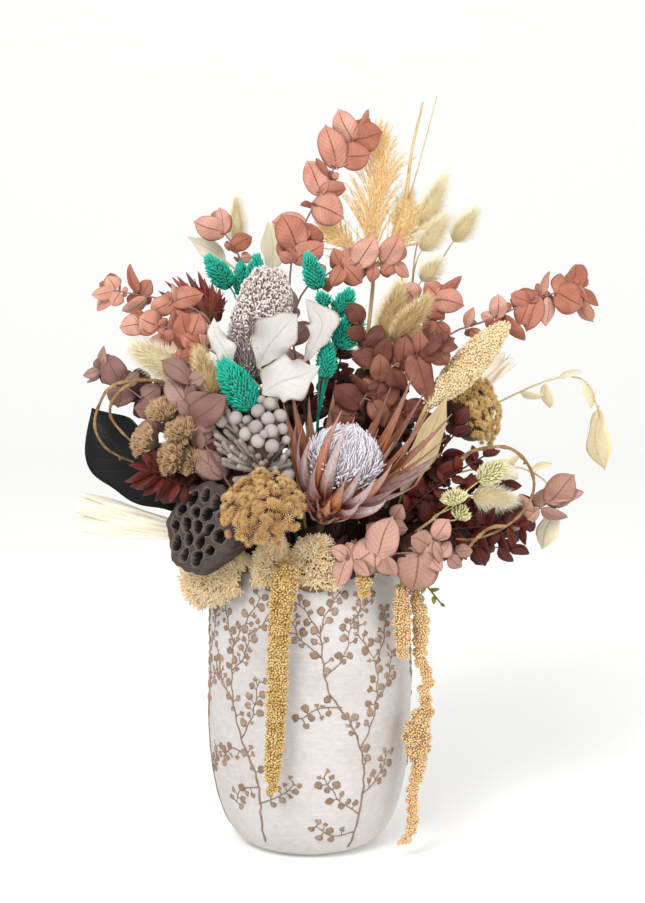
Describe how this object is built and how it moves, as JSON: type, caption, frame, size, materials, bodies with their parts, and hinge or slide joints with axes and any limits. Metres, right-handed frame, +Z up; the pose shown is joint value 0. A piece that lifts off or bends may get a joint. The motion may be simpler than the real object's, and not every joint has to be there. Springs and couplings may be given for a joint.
{
  "type": "dried flower arrangement in a ceramic vase",
  "caption": "Dried flowers, seed heads, grasses and preserved leaves standing in foam in a tall rounded ceramic vase, with hanging ropes of amaranthus.",
  "frame": {"origin": "centre of the vase's flat foot", "axes": "+Z up along the vase's axis, -Y towards the front of the arrangement, +X to its right as seen from the front"},
  "size_m": [0.5375, 0.3705, 0.7511],
  "materials": {
    "amaranthus_front": "matt, dried",
    "amaranthus_right": "matt, dried",
    "amaranthus_short": "matt, dried",
    "back_left": "matt, dried",
    "back_low": "matt, dried",
    "back_middle": "matt, dried",
    "back_right": "matt, dried",
    "banksia": "matt, dried",
    "black_leaf": "glossy",
    "brunia": "matt, dried",
    "cream_leaves": "matt, dried",
    "eucalyptus_corner": "matt, dried",
    "eucalyptus_crown": "matt, dried",
    "eucalyptus_heart": "matt, dried",
    "eucalyptus_inner": "matt, dried",
    "eucalyptus_left": "matt, dried",
    "eucalyptus_mid": "matt, dried",
    "eucalyptus_right": "matt, dried",
    "eucalyptus_top": "matt, dried",
    "foam": null,
    "green_sprig": "matt, dried",
    "leucadendron": "matt, dried",
    "lotus_pod": "matt, dried",
    "mauve_left": "matt, dried",
    "mauve_low": "matt, dried",
    "mauve_mid": "matt, dried",
    "mauve_right": "matt, dried",
    "millet_left": "matt, dried",
    "millet_right": "matt, dried",
    "moss_back": "matt, dried",
    "moss_front": "matt, dried",
    "moss_left": "matt, dried",
    "moss_right": "matt, dried",
    "pale_grass": "matt, dried",
    "palm_left": "matt, dried",
    "palm_right": "matt, dried",
    "plume": "matt, dried",
    "protea": "matt, dried",
    "red_centre": "matt, dried",
    "red_left": "matt, dried",
    "red_mid": "matt, dried",
    "red_right": "matt, dried",
    "skeleton_low": "matt, dried",
    "skeleton_right": "matt, dried",
    "spear_leaf": "matt, dried",
    "tail_left": "matt, dried",
    "tail_low": "matt, dried",
    "tail_tall": "matt, dried",
    "tails_back": "matt, dried",
    "tails_front": "matt, dried",
    "teal_front": "matt, dried",
    "teal_left": "matt, dried",
    "teal_right": "matt, dried",
    "vase": "matt off-white glaze with raised brown branches",
    "white_leaves": "matt, dried",
    "willow_left": "matt, dried",
    "willow_right": "matt, dried",
    "yarrow_front": "matt, dried",
    "yarrow_left": "matt, dried",
    "yarrow_right": "matt, dried"
  },
  "bodies": {
    "root": {"amaranthus_front": "amaranthus_front", "amaranthus_right": "amaranthus_right", "amaranthus_short": "amaranthus_short", "back_left": "back_left", "back_low": "back_low", "back_middle": "back_middle", "back_right": "back_right", "banksia": "banksia", "black_leaf": "black_leaf", "brunia": "brunia", "cream_leaves": "cream_leaves", "eucalyptus_corner": "eucalyptus_corner", "eucalyptus_crown": "eucalyptus_crown", "eucalyptus_heart": "eucalyptus_heart", "eucalyptus_inner": "eucalyptus_inner", "eucalyptus_left": "eucalyptus_left", "eucalyptus_mid": "eucalyptus_mid", "eucalyptus_right": "eucalyptus_right", "eucalyptus_top": "eucalyptus_top", "foam": "foam", "green_sprig": "green_sprig", "leucadendron": "leucadendron", "lotus_pod": "lotus_pod", "mauve_left": "mauve_left", "mauve_low": "mauve_low", "mauve_mid": "mauve_mid", "mauve_right": "mauve_right", "millet_left": "millet_left", "millet_right": "millet_right", "moss_back": "moss_back", "moss_front": "moss_front", "moss_left": "moss_left", "moss_right": "moss_right", "pale_grass": "pale_grass", "palm_left": "palm_left", "palm_right": "palm_right", "plume": "plume", "protea": "protea", "red_centre": "red_centre", "red_left": "red_left", "red_mid": "red_mid", "red_right": "red_right", "skeleton_low": "skeleton_low", "skeleton_right": "skeleton_right", "spear_leaf": "spear_leaf", "tail_left": "tail_left", "tail_low": "tail_low", "tail_tall": "tail_tall", "tails_back": "tails_back", "tails_front": "tails_front", "teal_front": "teal_front", "teal_left": "teal_left", "teal_right": "teal_right", "vase": "vase", "white_leaves": "white_leaves", "willow_left": "willow_left", "willow_right": "willow_right", "yarrow_front": "yarrow_front", "yarrow_left": "yarrow_left", "yarrow_right": "yarrow_right"}
  },
  "joints": []
}
